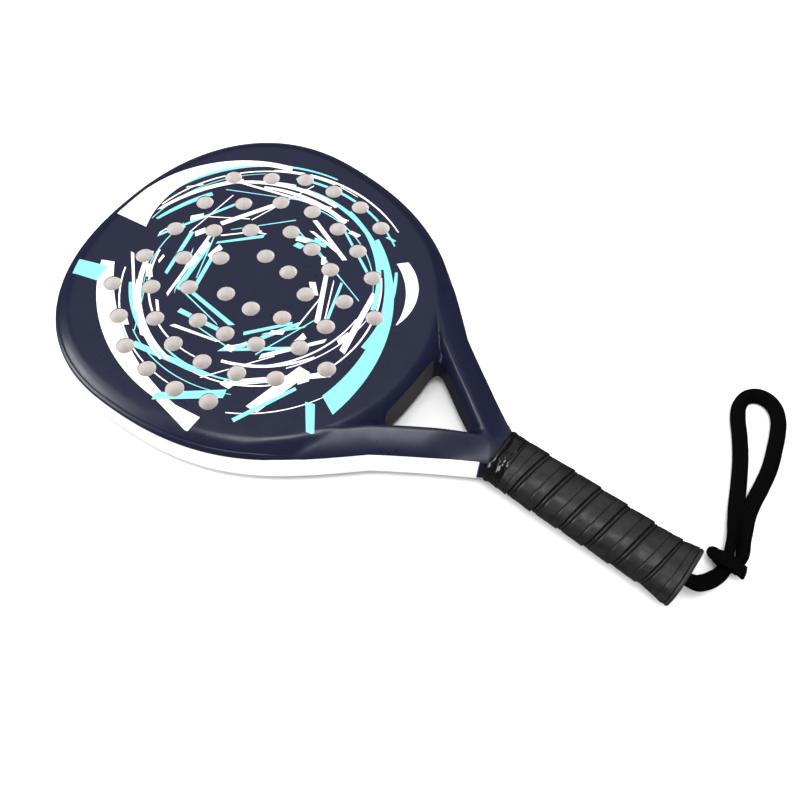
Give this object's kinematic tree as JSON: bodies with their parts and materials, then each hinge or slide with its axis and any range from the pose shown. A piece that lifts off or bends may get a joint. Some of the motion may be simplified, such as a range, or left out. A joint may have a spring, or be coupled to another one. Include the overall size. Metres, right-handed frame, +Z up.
{
  "type": "padel racket",
  "caption": "Padel racket: perforated teardrop face on a foam core in a tubular frame with an open throat, a tape-wound handle and a braided wrist strap.",
  "frame": {"origin": "on the surface the racket lies on, under the middle of the racket's length and width, the wrist strap left out", "axes": "+X runs along the racket from the head to the butt, +Y across the racket, +Z up out of the front face"},
  "size_m": [0.4836, 0.2816, 0.038],
  "materials": {
    "lacquered_composite": "satin lacquer over fibre laminate",
    "filler_foam": "rigid closed-cell foam",
    "core_foam": "drilled EVA foam",
    "edge_band": "smooth white film",
    "handle_pallet": "moulded rigid foam",
    "cushion_grip": "soft cushioned sleeve",
    "grip_leather": "soft synthetic leather, slight sheen",
    "collar_tape": "glossy stretch tape",
    "butt_cap": "moulded, fine texture",
    "strap_braid": "tubular polyester braid"
  },
  "bodies": {
    "root": {"frame_tube": "lacquered_composite", "frame_filler": "filler_foam", "throat_bridge": "lacquered_composite", "foam_core": "core_foam", "face_front": "lacquered_composite", "face_rear": "lacquered_composite", "edge_band": "edge_band", "handle_pallet_front": "handle_pallet", "handle_pallet_rear": "handle_pallet", "base_grip": "cushion_grip", "overgrip": "grip_leather", "collar_tape": "collar_tape", "butt_cap": "butt_cap", "strap_anchor": "strap_braid", "strap_lead": "strap_braid", "strap_loop": "strap_braid", "strap_knot": "strap_braid"}
  },
  "joints": []
}
